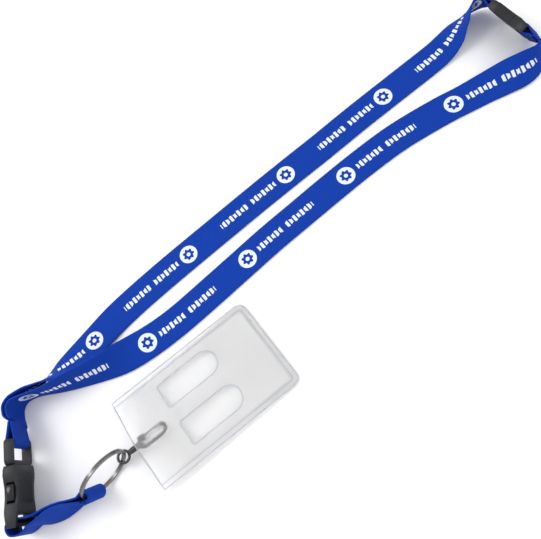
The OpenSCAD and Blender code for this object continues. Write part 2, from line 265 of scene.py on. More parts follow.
@dataclass(frozen=True)
class Webbing:
    """Woven polyester tape, plain or printed in white along its middle."""

    name: str
    colour: tuple = (0.003, 0.05, 0.42)
    printed: bool = False
    pitch: float = 79.4
    first_disc: float = 30.0
    lay: Lay = Lay.FORWARD
    rib_along: float = 0.95
    rib_across: float = 0.8
    slant: float = 3.2
    disc_radius: float = 5.85
    rosette_radius: float = 3.4
    heart_radius: float = 1.3
    scallop: float = 0.55
    petals: float = 7.0
    row: tuple = (8.9, 52.6)
    row_gap: tuple = (28.0, 31.0)
    stroke_pitch: float = 2.9
    stroke_cut: float = -0.45
    stroke_low: float = 1.2
    stroke_rise: float = 0.95
    swell_rate: float = 0.61

    def build(self) -> Material:
        """Makes the tape's material from its UV map, whose unit is a millimetre."""
        cloth = Shader(self.name, self.colour, 0.75)
        cloth.set("Specular IOR Level", 0.12)
        spread = cloth.nodes.new("ShaderNodeUVMap")
        split = cloth.nodes.new("ShaderNodeSeparateXYZ")
        cloth.links.new(spread.outputs["UV"], split.inputs[0])
        along, over = split.outputs["X"], split.outputs["Y"]
        weave = self.weave(cloth, along, over)
        cloth.bump(weave, 0.55, 0.00022)
        # Painted shade: the weave's low grooves take a darker copy of the tape's colour.
        groove_shade = tuple(c * 0.55 for c in self.colour)
        base = cloth.mix(weave, groove_shade, self.colour)
        if self.printed:
            ink = self.print_mask(cloth, along, over)
            # Painted shade: the white ink is greyer in the weave's low grooves.
            white = cloth.mix(weave, (0.6, 0.65, 0.78), (0.82, 0.86, 0.95))
            base = cloth.mix(ink, base, white)
        cloth.feed("Base Color", base)
        return cloth.material

    def weave(self, cloth: Shader, along: Socket, over: Socket) -> Socket:
        """Makes the tape's twill of fine ribs.

        Args:
            cloth: The shader to add to.
            along: Millimetres along the tape.
            over: Millimetres across the tape, from its middle.

        Returns:
            The weave's height from 0 to 1.
        """
        op = cloth.math
        step = op("MULTIPLY", along, 2 * math.pi / self.rib_along)
        rib = op("MULTIPLY", over, 2 * math.pi / self.rib_across)
        slant = op("ADD", step, op("MULTIPLY", over, self.slant))
        twill = op("MULTIPLY", op("SINE", slant), op("SINE", rib))
        return op("ADD", op("MULTIPLY", twill, 0.5), 0.5)

    def print_mask(self, cloth: Shader, along: Socket, over: Socket) -> Socket:
        """Lays out the disc, its scalloped rosette and the row of plain bars beside it.

        Args:
            cloth: The shader to add to.
            along: Millimetres along the tape.
            over: Millimetres across the tape, from its middle.

        Returns:
            1 where there is ink, or else 0.
        """
        op, half = cloth.math, self.pitch / 2
        reach = op("SUBTRACT", along, self.first_disc - half)
        cell = op("SUBTRACT", op("FLOORED_MODULO", reach, self.pitch), half)
        cell = op("MULTIPLY", cell, float(self.lay.value))
        squares = [op("MULTIPLY", side, side) for side in (cell, over)]
        radius = op("SQRT", op("ADD", *squares))
        angle = op("ARCTAN2", over, cell)
        wave = op("SINE", op("MULTIPLY", angle, self.petals))
        edge = op("ADD", op("MULTIPLY", wave, self.scallop), self.rosette_radius)
        petal = op("LESS_THAN", radius, edge)
        heart = op("LESS_THAN", radius, self.heart_radius)
        rosette = op("SUBTRACT", petal, heart)
        disc = op("LESS_THAN", radius, self.disc_radius)
        disc = op("SUBTRACT", disc, rosette)
        onward = op("FLOORED_MODULO", cell, self.pitch)
        solid = op("SUBTRACT", 1.0, self.between(cloth, onward, *self.row_gap))
        inside = op("MULTIPLY", self.between(cloth, onward, *self.row), solid)
        beat = op("SINE", op("MULTIPLY", onward, 2 * math.pi / self.stroke_pitch))
        strokes = op("GREATER_THAN", beat, self.stroke_cut)
        swing = op("SINE", op("MULTIPLY", onward, self.swell_rate))
        swing = op("MULTIPLY", op("ABSOLUTE", swing), self.stroke_rise)
        tall = op("ADD", swing, self.stroke_low)
        level = op("LESS_THAN", op("ABSOLUTE", over), tall)
        row = op("MULTIPLY", op("MULTIPLY", inside, strokes), level)
        return op("MAXIMUM", disc, row)

    @staticmethod
    def between(cloth: Shader, value: Socket, low: float, high: float) -> Socket:
        """Tests whether a value lies between two others.

        Args:
            cloth: The shader to add to.
            value: The value.
            low: The lower limit.
            high: The upper limit.

        Returns:
            1 between the limits, or else 0.
        """
        return cloth.math(
            "MULTIPLY", cloth.math("GREATER_THAN", value, low), cloth.math("LESS_THAN", value, high)
        )


@dataclass(frozen=True)
class Plastic:
    """Moulded plastic with a fine texture."""

    name: str
    colour: tuple
    roughness: float
    grain: float = 0.00004

    def build(self) -> Material:
        """Makes the plastic's material."""
        moulded = Shader(self.name, self.colour, self.roughness)
        moulded.set("Specular IOR Level", 0.35)
        moulded.bump(moulded.noise(2600.0), 0.5, self.grain)
        return moulded.material


@dataclass(frozen=True)
class Metal:
    """Plated metal, slightly uneven."""

    name: str
    colour: tuple
    roughness: float

    def build(self) -> Material:
        """Makes the metal's material."""
        plated = Shader(self.name, self.colour, self.roughness, 1.0)
        uneven = plated.math("MULTIPLY", plated.noise(900.0), 0.12)
        plated.feed("Roughness", plated.math("ADD", uneven, self.roughness - 0.05))
        return plated.material


@dataclass(frozen=True)
class FrostedSheet:
    """Thin frosted vinyl that blurs what is behind it."""

    name: str
    colour: tuple = (1.0, 1.0, 1.0)
    clear: float = 0.9
    roughness: float = 0.42

    def build(self) -> Material:
        """Makes the sheet's material."""
        sheet = Shader(self.name, self.colour, self.roughness)
        sheet.set("Transmission Weight", self.clear)
        sheet.set("IOR", 1.15)
        sheet.bump(sheet.noise(1500.0, 5.0), 0.6, 0.00003)
        return sheet.material


# ---- mesh helpers ----


def add_to_scene(thing: Piece) -> None:
    """Links an object to the scene."""
    bpy.context.scene.collection.objects.link(thing)


def new_piece(name: str, mesh: bpy.types.Mesh, material: Material) -> Piece:
    """Adds a mesh to the scene as a piece with one material."""
    piece = bpy.data.objects.new(name, mesh)
    add_to_scene(piece)
    mesh.materials.clear()
    mesh.materials.append(material)
    return piece


def shade_smooth(mesh: bpy.types.Mesh, angle: float = 35.0) -> None:
    """Shades a mesh smooth, but keeps edges sharper than the angle, in degrees."""
    mesh.shade_smooth()
    mesh.set_sharp_from_angle(angle=math.radians(angle))


def evaluated(piece: Piece) -> bpy.types.Mesh:
    """Gives a piece's mesh as its modifiers leave it."""
    graph = bpy.context.evaluated_depsgraph_get()
    return bpy.data.meshes.new_from_object(piece.evaluated_get(graph), depsgraph=graph)


def bake(piece: Piece) -> None:
    """Turns a piece's modifiers into plain mesh and removes them."""
    mesh = evaluated(piece)
    piece.modifiers.clear()
    piece.data = mesh


def ring_faces(rings: int, count: int, closed: bool) -> list:
    """Gives the faces that skin a run of section rings, with caps where it is open.

    Args:
        rings: How many rings there are.
        count: Points in one ring.
        closed: Whether the last ring joins the first.

    Returns:
        The faces, as rows of point numbers.
    """
    faces = []
    for i in range(rings if closed else rings - 1):
        here, there = i * count, (i + 1) % rings * count
        for k in range(count):
            after = (k + 1) % count
            faces.append((here + k, here + after, there + after, there + k))
    if not closed:
        faces.append(tuple(range(count)))
        faces.append(tuple(range((rings - 1) * count, rings * count))[::-1])
    return faces


def closed_mesh(name: str, points: np.ndarray, faces: list) -> bpy.types.Mesh:
    """Makes a closed mesh from points in millimetres, with its faces turned outwards."""
    mesh = bpy.data.meshes.new(name)
    mesh.from_pydata((np.asarray(points) * MM).tolist(), [], faces)
    work = bmesh.new()
    work.from_mesh(mesh)
    bmesh.ops.recalc_face_normals(work, faces=work.faces)
    work.to_mesh(mesh)
    work.free()
    return mesh


def dressed_node(node: str, material: Material, body: Body, bevel: float = 0.0) -> Piece:
    """Replaces a frame node by a merged copy with softened edges.

    Args:
        node: The node's name.
        material: The copy's finish.
        body: The body it rides on.
        bevel: Width of the softened edges in millimetres, or 0 for none.

    Returns:
        The dressed copy.
    """
    mesh = bpy.data.objects[node].data.copy()
    work = bmesh.new()
    work.from_mesh(mesh)
    bmesh.ops.remove_doubles(work, verts=work.verts, dist=2e-6)
    bmesh.ops.dissolve_limit(
        work, angle_limit=math.radians(1.0), verts=work.verts, edges=work.edges
    )
    work.to_mesh(mesh)
    work.free()
    piece = new_piece(f"{node}_look", mesh, material)
    if bevel:
        soft = piece.modifiers.new("soft_edges", "BEVEL")
        soft.width = bevel * MM
        soft.segments = 2
        soft.limit_method = "ANGLE"
        soft.angle_limit = math.radians(32)
        soft.use_clamp_overlap = True
        bake(piece)
    shade_smooth(piece.data)
    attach(piece, body.value)
    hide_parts(node)
    LOG.info("%s dressed, %d faces", node, len(piece.data.polygons))
    return piece


def smooth_route(route: list, per: int) -> np.ndarray:
    """Runs a smooth curve through the rows of a route.

    Args:
        route: Rows of numbers, interpolated column by column.
        per: Steps between two rows.

    Returns:
        The finer rows.
    """
    rows = np.array(route, float)
    out = []
    for i in range(len(rows) - 1):
        before, here = rows[max(i - 1, 0)], rows[i]
        there, after = rows[i + 1], rows[min(i + 2, len(rows) - 1)]
        for k in range(per):
            t = k / per
            out.append(
                0.5 * (2 * here + (there - before) * t
                       + (2 * before - 5 * here + 4 * there - after) * t * t
                       + (3 * here - before - 3 * there + after) * t**3)
            )
    out.append(rows[-1])
    return np.array(out)


def tangents(path: np.ndarray) -> np.ndarray:
    """Gives the unit direction at each point of a path."""
    run = np.gradient(path, axis=0)
    return run / np.linalg.norm(run, axis=1)[:, None]


def rolled_sides(path: np.ndarray, rolls: np.ndarray) -> np.ndarray:
    """Gives the direction across a strap at each point: level at roll 0, upright at 90.

    Args:
        path: The strap's centre line.
        rolls: The roll in degrees at each point.

    Returns:
        One unit direction per point.
    """
    run = tangents(path)
    level = np.cross((0.0, 0.0, 1.0), run)
    level /= np.linalg.norm(level, axis=1)[:, None]
    rise = np.cross(run, level)
    angle = np.radians(rolls)[:, None]
    return np.cos(angle) * level + np.sin(angle) * rise


@dataclass
class Tape:
    """A length of flat webbing swept along a centre line, with rounded selvedges."""

    name: str
    path: np.ndarray
    sides: np.ndarray
    widths: np.ndarray
    thickness: float = STRAP_THICKNESS
    across: int = 10

    def section(self) -> np.ndarray:
        """Gives the section's outline as fractions of the half width and half thickness."""
        flats = np.linspace(-0.965, 0.965, self.across)
        top = [(x, 1.0) for x in flats]
        right = [(0.99, 0.7), (1.0, 0.0), (0.99, -0.7)]
        under = [(-x, -1.0) for x in flats]
        left = [(-0.99, -0.7), (-1.0, 0.0), (-0.99, 0.7)]
        return np.array(top + right + under + left)

    def build(self, material: Material) -> Piece:
        """Sweeps the tape and gives it a UV map in millimetres.

        Args:
            material: The tape's finish.

        Returns:
            The closed mesh.
        """
        outline = self.section()
        count, rings = len(outline), len(self.path)
        run = tangents(self.path)
        faces_up = np.cross(run, self.sides)
        faces_up /= np.linalg.norm(faces_up, axis=1)[:, None]
        points = []
        for centre, side, up, width in zip(self.path, self.sides, faces_up, self.widths):
            spread = outline[:, :1] * side * width / 2
            points.append(centre + spread + outline[:, 1:] * up * self.thickness / 2)
        faces = ring_faces(rings, count, closed=False)
        mesh = closed_mesh(self.name, np.concatenate(points), faces)
        steps = np.linalg.norm(np.diff(self.path, axis=0), axis=1)
        gone = np.concatenate([[0.0], np.cumsum(steps)])
        spread_map = mesh.uv_layers.new(name="tape_map")
        for loop in mesh.loops:
            ring, spot = divmod(loop.vertex_index, count)
            over = outline[spot, 0] * self.widths[ring] / 2
            spread_map.data[loop.index].uv = (gone[ring], over)
        shade_smooth(mesh, 60.0)
        return new_piece(self.name, mesh, material)

    def length(self) -> float:
        """Gives the length of the centre line in millimetres."""
        return float(np.linalg.norm(np.diff(self.path, axis=0), axis=1).sum())


@dataclass
class NeckStrap:
    """The two printed legs of the neck loop, from the breakaway clasp to the buckle."""

    width: float = STRAP_WIDTH
    steps: int = 10
    left_first_disc: float = 90.8
    right_first_disc: float = 67.2
    blend_point: int = 60

    def leg(self, name: str, route: list, finish: Webbing) -> tuple:
        """Builds one leg along its route.

        Args:
            name: The frame node that the leg stands for.
            route: Rows of x, y, z and roll.
            finish: The leg's printed webbing.

        Returns:
            The piece and its centre line in millimetres.
        """
        rows = smooth_route(route, self.steps)
        path = rows[:, :3] + LAYOUT_SHIFT
        sides = rolled_sides(rows[:, :3], rows[:, 3])
        tape = Tape(f"{name}_weave", path, sides, np.full(len(path), self.width))
        piece = tape.build(finish.build())
        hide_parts(name)
        round(tape.length() * MM, 3)
        LOG.info("%s is %.0f mm long", name, tape.length())
        return piece, path

    def build(self) -> None:
        """Builds both legs."""
        left_finish = Webbing(
            "printed_webbing_left", printed=True, first_disc=self.left_first_disc, lay=Lay.FORWARD
        )
        right_finish = Webbing(
            "printed_webbing_right", printed=True, first_disc=self.right_first_disc, lay=Lay.TURNED
        )
        left, path = self.leg("neck_strap_left", LEFT_ROUTE, left_finish)
        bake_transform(left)
        right, _ = self.leg("neck_strap_right", RIGHT_ROUTE, right_finish)
        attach(right, Body.NECK_STRAP.value)


def fold_path(
    bar_y: float, radius: float, stack_y: float, half_gap: float, slack: float
) -> np.ndarray:
    """Runs a line from a sewn stack, round a bar and back to the stack.

    Args:
        bar_y: The bar's place along local Y.
        radius: Radius of the strap's middle round the bar.
        stack_y: Where the sewn stack ends along local Y.
        half_gap: Half the distance between the two layers in the stack.
        slack: How far each leg bulges between the bar and the stack.

    Returns:
        The points in local Y and Z, as rows of three with X at zero.
    """
    away = 1.0 if stack_y < bar_y else -1.0
    free = abs(stack_y - bar_y) * 0.7
    lean = math.asin(min(0.95, (radius - half_gap) / free))
    knee = bar_y - away * free
    rows = [(0.0, stack_y, half_gap), (0.0, knee, half_gap + slack)]
    steps = 24
    for k in range(steps + 1):
        angle = math.pi / 2 + lean - (math.pi + 2 * lean) * k / steps
        rows.append((0.0, bar_y + away * radius * math.cos(angle), radius * math.sin(angle)))
    rows.append((0.0, knee, -half_gap - slack))
    rows.append((0.0, stack_y, -half_gap))
    return smooth_route(rows, 3)


@dataclass
class Folds:
    """The strap ends turned round the bars, and the thread that closes them."""

    webbing: Material
    thread: Material
    bar_gap: float = 1.0
    half_gap: float = 0.62
    slack: float = 0.5
    width: float = STRAP_WIDTH - 0.2
    stitch_count: int = 9
    stitch_step: float = 1.95
    stitch_size: tuple = (1.35, 0.42, 0.34)

    def fold(
        self, name: str, node: str, place: Place, body: Body, bar: tuple, stack: float
    ) -> None:
        """Builds one fold in a sub-assembly's own axes.

        Args:
            name: The piece's name.
            node: The frame node it stands for.
            place: The sub-assembly's placing.
            body: The body it rides on.
            bar: The bar's place along Y and its radius.
            stack: Where the sewn stack ends along Y.
        """
        local = fold_path(bar[0], bar[1] + self.bar_gap, stack, self.half_gap, self.slack)
        path = place.world(local)
        across = turn(*place.turned) @ np.array([1.0, 0.0, 0.0])
        sides = np.repeat(across[None, :], len(path), axis=0)
        tape = Tape(name, path, sides, np.full(len(path), self.width))
        piece = tape.build(self.webbing)
        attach(piece, body.value)
        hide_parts(node)
        LOG.info("%s built round its bar", name)

    def stitches(
        self, name: str, node: str, place: Place, body: Body, ys: tuple, height: float
    ) -> None:
        """Lays rows of thread across both faces of a sewn stack.

        Args:
            name: The piece's name.
            node: The frame node it stands for.
            place: The sub-assembly's placing.
            body: The body it rides on.
            ys: Where the rows lie along Y.
            height: Height of the stack's face from its middle.
        """
        meshes = []
        for y in ys:
            for face in (1.0, -1.0):
                spot = Matrix.Translation(Vector((0.0, y, face * height)) * MM)
                meshes.append(row_of_bars(
                    self.stitch_count, self.stitch_step, self.stitch_size, self.thread,
                    place.matrix() @ spot,
                ))
        piece = joined(name, meshes, self.thread)
        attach(piece, body.value)
        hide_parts(node)
        LOG.info("%s sewn", name)

    def build(self) -> None:
        """Builds the folds at the buckle's plug and at both ends of the breakaway clasp."""
        strap, half = Body.NECK_STRAP, Body.BREAKAWAY_HALF
        for name, node, place, body, bar, stack in (
            ("plug_fold_weave", "neck_strap_plug_fold", BUCKLE, strap, (-13.0, 1.6), -25.0),
            ("left_fold_weave", "left_clasp_fold", CLASP, half, (-12.3, 1.5), -19.2),
            ("right_fold_weave", "right_clasp_fold", CLASP, strap, (12.3, 1.5), 19.2),
        ):
            self.fold(name, node, place, body, bar, stack)
        for name, node, place, body, ys, height in (
            ("join_thread", "neck_strap_join_stitching", BUCKLE, strap, (-23.2, -21.0), 1.25),
            ("left_thread", "left_clasp_stitching", CLASP, half, (-18.0, -16.6), 1.3),
            ("right_thread", "right_clasp_stitching", CLASP, strap, (18.0, 16.6), 1.3),
        ):
            self.stitches(name, node, place, body, ys, height)


# ---- geometry nodes ----


def bars_tree() -> bpy.types.GeometryNodeTree:
    """Makes the tree that sets out a row of small rounded bars along X.

    Returns:
        The tree, made once and shared.
    """
    known = bpy.data.node_groups.get("row_of_bars")
    if known:
        return known
    tree = bpy.data.node_groups.new("row_of_bars", "GeometryNodeTree")
    face = tree.interface
    face.new_socket("Geometry", in_out="INPUT", socket_type="NodeSocketGeometry")
    for name, kind in (("Count", "NodeSocketInt"), ("Step", "NodeSocketFloat"),
                       ("Size", "NodeSocketVector"), ("Finish", "NodeSocketMaterial")):
        face.new_socket(name, in_out="INPUT", socket_type=kind)
    face.new_socket("Geometry", in_out="OUTPUT", socket_type="NodeSocketGeometry")
    nodes, links = tree.nodes, tree.links
    given = nodes.new("NodeGroupInput")
    result = nodes.new("NodeGroupOutput")
    line = nodes.new("GeometryNodeMeshLine")
    offset = nodes.new("ShaderNodeCombineXYZ")
    bead = nodes.new("GeometryNodeMeshUVSphere")
    bead.inputs["Segments"].default_value = 10
    bead.inputs["Rings"].default_value = 6
    bead.inputs["Radius"].default_value = 0.5
    on_points = nodes.new("GeometryNodeInstanceOnPoints")
    real = nodes.new("GeometryNodeRealizeInstances")
    finish = nodes.new("GeometryNodeSetMaterial")
    for source, out, target, into in (
        (given, "Count", line, "Count"),
        (given, "Step", offset, "X"),
        (offset, "Vector", line, "Offset"),
        (line, "Mesh", on_points, "Points"),
        (bead, "Mesh", on_points, "Instance"),
        (given, "Size", on_points, "Scale"),
        (on_points, "Instances", real, "Geometry"),
        (real, "Geometry", finish, "Geometry"),
        (given, "Finish", finish, "Material"),
        (finish, "Geometry", result, "Geometry"),
    ):
        links.new(source.outputs[out], target.inputs[into])
    return tree


def row_of_bars(
    count: int, step: float, size: tuple, material: Material, place: Matrix
) -> bpy.types.Mesh:
    """Builds one centred row of rounded bars and puts it in place.

    Args:
        count: How many bars.
        step: Distance between two bars in millimetres.
        size: Each bar's size in millimetres.
        material: The bars' finish.
        place: Where the row's middle goes.

    Returns:
        The placed mesh.
    """
    tree = bars_tree()
    holder = bpy.data.objects.new("row", bpy.data.meshes.new("row"))
    add_to_scene(holder)
    maker = holder.modifiers.new("row", "NODES")
    maker.node_group = tree
    values = {
        "Count": count, "Step": step * MM, "Size": [side * MM for side in size], "Finish": material,
    }
    for socket in tree.interface.items_tree:
        if socket.in_out == "INPUT" and socket.name in values:
            maker[socket.identifier] = values[socket.name]
    mesh = evaluated(holder)
    bpy.data.objects.remove(holder)
    centre = Matrix.Translation((-(count - 1) * step / 2 * MM, 0, 0))
    mesh.transform(place @ centre)
    return mesh


def joined(name: str, meshes: list, material: Material) -> Piece:
    """Joins meshes into one piece.

    Args:
        name: The piece's name.
        meshes: The meshes, already in place.
        material: The piece's finish.

    Returns:
        The joined piece.
    """
    work = bmesh.new()
    for mesh in meshes:
        work.from_mesh(mesh)
    mesh = bpy.data.meshes.new(name)
    work.to_mesh(mesh)
    work.free()
    mesh.shade_smooth()
    return new_piece(name, mesh, material)


# ---- the short strap ----


@dataclass
class ShortStrap:
    """The doubled strap that runs from the buckle's bar to the split ring."""

    webbing: Material
    thread: Material
    bar_y: float = 31.2
    end_loop: tuple = (
        (4.6, 5.2), (5.9, 1.6), (5.2, -2.4), (2.0, -4.3), (-1.2, -3.6), (-2.8, -0.6), (-2.7, 3.2),
    )
    ring_fold_radius: float = 3.5
    ring_fold_angle: float = 195.0
    ring_fold_reach: float = 13.85
    ring_fold_half_turn: float = 128.0
    bar_width: float = 20.0
    ring_width: float = 15.6
    thickness: float = 1.0
    steps: int = 8
    sewn_points: tuple = (26, 29, 32)
    stitch_count: int = 8
    stitch_step: float = 2.0
    stitch_size: tuple = (1.35, 0.4, 0.3)
    stitch_lift: float = 0.52

    def layers(self) -> tuple:
        """Gives the strap's middle line with its sides, faces, gaps and widths."""
        given = zip(SHORT_ROUTE, SHORT_GAPS, SHORT_WIDTHS)
        table = [(*row, gap, width) for row, gap, width in given]
        rows = smooth_route(table, self.steps)
        line = rows[:, :3]
        sides = rolled_sides(line, rows[:, 3])
        faces = np.cross(tangents(line), sides)
        faces /= np.linalg.norm(faces, axis=1)[:, None]
        return line + LAYOUT_SHIFT, sides, faces, rows[:, 4], rows[:, 5]

    def build(self) -> None:
        """Builds the strap as one tape, round the bar and round the ring, and its thread."""
        line, sides, faces, gaps, widths = self.layers()
        near = line + faces * gaps[:, None]
        far = line - faces * gaps[:, None]
        bend = smooth_route([(0, self.bar_y + y, z) for y, z in self.end_loop], 5)
        round_bar = BUCKLE.world(bend)
        bar_side = turn(*BUCKLE.turned) @ np.array([1.0, 0.0, 0.0])
        angle = math.radians(self.ring_fold_angle)
        reach = self.ring_fold_reach
        eye = RING.world([(reach * math.cos(angle), reach * math.sin(angle), 0)])[0]
        axis = turn(*RING.turned) @ np.array([math.sin(angle), -math.cos(angle), 0.0])
        onward = eye - line[-1]
        onward -= axis * float(onward @ axis)
        onward /= np.linalg.norm(onward)
        aside = np.cross(onward, axis)
        aside *= np.sign(float(aside @ faces[-1]))
        swing = self.ring_fold_half_turn
        loop = [eye + self.ring_fold_radius * (math.cos(a) * onward + math.sin(a) * aside)
                for a in np.radians(np.linspace(-swing, swing, 25))]
        path = np.concatenate([near[::-1], round_bar, far[:-2], loop])
        all_sides = np.concatenate([
            sides[::-1], np.repeat(bar_side[None, :], len(round_bar), axis=0),
            sides[:-2], np.repeat(axis[None, :], len(loop), axis=0),
        ])
        all_widths = np.concatenate([
            widths[::-1], np.full(len(round_bar), self.bar_width),
            widths[:-2], np.full(len(loop), self.ring_width),
        ])
        tape = Tape("short_strap_weave", path, all_sides, all_widths, self.thickness)
        piece = tape.build(self.webbing)
        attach(piece, Body.RELEASE_HALF.value)
        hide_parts("short_strap", "short_strap_buckle_fold", "short_strap_ring_fold")
        LOG.info("short strap is %.0f mm of tape", tape.length())
        self.sew(line, sides, faces, gaps)

    def sew(self, line: np.ndarray, sides: np.ndarray, faces: np.ndarray, gaps: np.ndarray) -> None:
        """Sews the layers together behind the ring.

        Args:
            line: The strap's middle line.
            sides: Its direction across.
            faces: Its face directions.
            gaps: Half the distance between its layers.
        """
        rows = []
        for spot in self.sewn_points:
            for sign in (1.0, -1.0):
                out = faces[spot] * sign
                run = np.cross(sides[spot], faces[spot])
                place = Matrix(np.column_stack([sides[spot], run, out]).tolist()).to_4x4()
                lift = out * (gaps[spot] + self.stitch_lift)
                place.translation = Vector((line[spot] + lift) * MM)
                rows.append(row_of_bars(
                    self.stitch_count, self.stitch_step, self.stitch_size, self.thread, place
                ))
        piece = joined("short_strap_thread", rows, self.thread)
        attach(piece, Body.RELEASE_HALF.value)
        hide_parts("short_strap_stitching")


# ---- hardware ----


@dataclass
class SplitRing:
    """Two turns of flat spring wire, crossing from one turn to the other once."""

    metal: Material
    radius: float = 15.0
    wire_width: float = 1.75
    wire_height: float = 0.98
    pitch: float = 1.04
    crossing: float = 195.0
    overlap: float = 14.0
    steps: int = 300

    def build(self) -> None:
        """Sweeps the wire through its two turns."""
        angles = np.linspace(self.overlap, 720.0 - self.overlap, self.steps)
        climb = np.clip((angles - 360.0 + self.overlap * 0.8) / (self.overlap * 1.6), 0.0, 1.0)
        climb = climb * climb * (3.0 - 2.0 * climb)
        corners = [
            (0.86, 1), (1, 0.8), (1, -0.8), (0.86, -1),
            (-0.86, -1), (-1, -0.8), (-1, 0.8), (-0.86, 1),
        ]
        rings = []
        for angle, height in zip(angles, (climb - 0.5) * self.pitch):
            turned = math.radians(angle + self.crossing)
            for u, v in corners:
                r = self.radius + u * self.wire_width / 2
                z = height + v * self.wire_height / 2
                rings.append((r * math.cos(turned), r * math.sin(turned), z))
        piece = swept(
            "split_ring_wire", RING.world(rings), len(corners), self.metal, closed=False
        )
        shade_smooth(piece.data, 40.0)
        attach(piece, Body.RING.value)
        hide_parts("split_ring")
        LOG.info("split ring wound")


def swept(name: str, points: np.ndarray, count: int, material: Material, closed: bool) -> Piece:
    """Skins a run of equal section rings.

    Args:
        name: The piece's name.
        points: All section points in millimetres, ring after ring.
        count: Points in one ring.
        material: The piece's finish.
        closed: Whether the last ring joins the first.

    Returns:
        The closed mesh.
    """
    faces = ring_faces(len(points) // count, count, closed)
    return new_piece(name, closed_mesh(name, points, faces), material)


@dataclass
class Buckle:
    """The side-release buckle: ribbed faces and polished buttons."""

    shell: Material
    button: Material
    rib_count: int = 15
    rib_step: float = 1.1
    rib_size: tuple = (0.62, 19.0, 0.55)
    rib_middle: float = 12.5
    face_height: float = 3.66

    def build(self) -> None:
        """Dresses the buckle's nodes and lays the ribs on its faces."""
        for node, finish, body, slot, bevel in (
            ("buckle_plug", self.shell, Body.NECK_STRAP, "buckle_plastic", 0.45),
            ("buckle_socket", self.shell, Body.RELEASE_HALF, "buckle_plastic", 0.35),
            ("buckle_latch_upper", self.button, Body.LATCH_UPPER, "button_plastic", 0.5),
            ("buckle_latch_lower", self.button, Body.LATCH_LOWER, "button_plastic", 0.5),
        ):
            dressed_node(node, finish, body, bevel)
        rows = []
        for face in (1.0, -1.0):
            middle = Vector((0.0, self.rib_middle, face * self.face_height)) * MM
            rows.append(row_of_bars(
                self.rib_count, self.rib_step, self.rib_size, self.shell,
                BUCKLE.matrix() @ Matrix.Translation(middle),
            ))
        ribs = joined("buckle_ribs", rows, self.shell)
        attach(ribs, Body.RELEASE_HALF.value)
        LOG.info("buckle dressed")


@dataclass
class BreakawayClasp:
    """The two halves of the breakaway clasp."""

    shell: Material
    bevel: float = 0.6

    def build(self) -> None:
        """Dresses both halves."""
        for node, body in (
            ("breakaway_socket", Body.BREAKAWAY_HALF), ("breakaway_plug", Body.NECK_STRAP)
        ):
            dressed_node(node, self.shell, body, self.bevel)


@dataclass
class TriggerClip:
    """The swivel trigger clip."""

    metal: Material

    def build(self) -> None:
        """Dresses the clip's nodes."""
        bodies = {
            "clip_eye": Body.EYE, "clip_hook": Body.HOOK, "clip_gate_pin": Body.HOOK,
            "clip_gate_spring": Body.HOOK, "clip_gate": Body.GATE,
        }
        for node, body in bodies.items():
            dressed_node(node, self.metal, body)


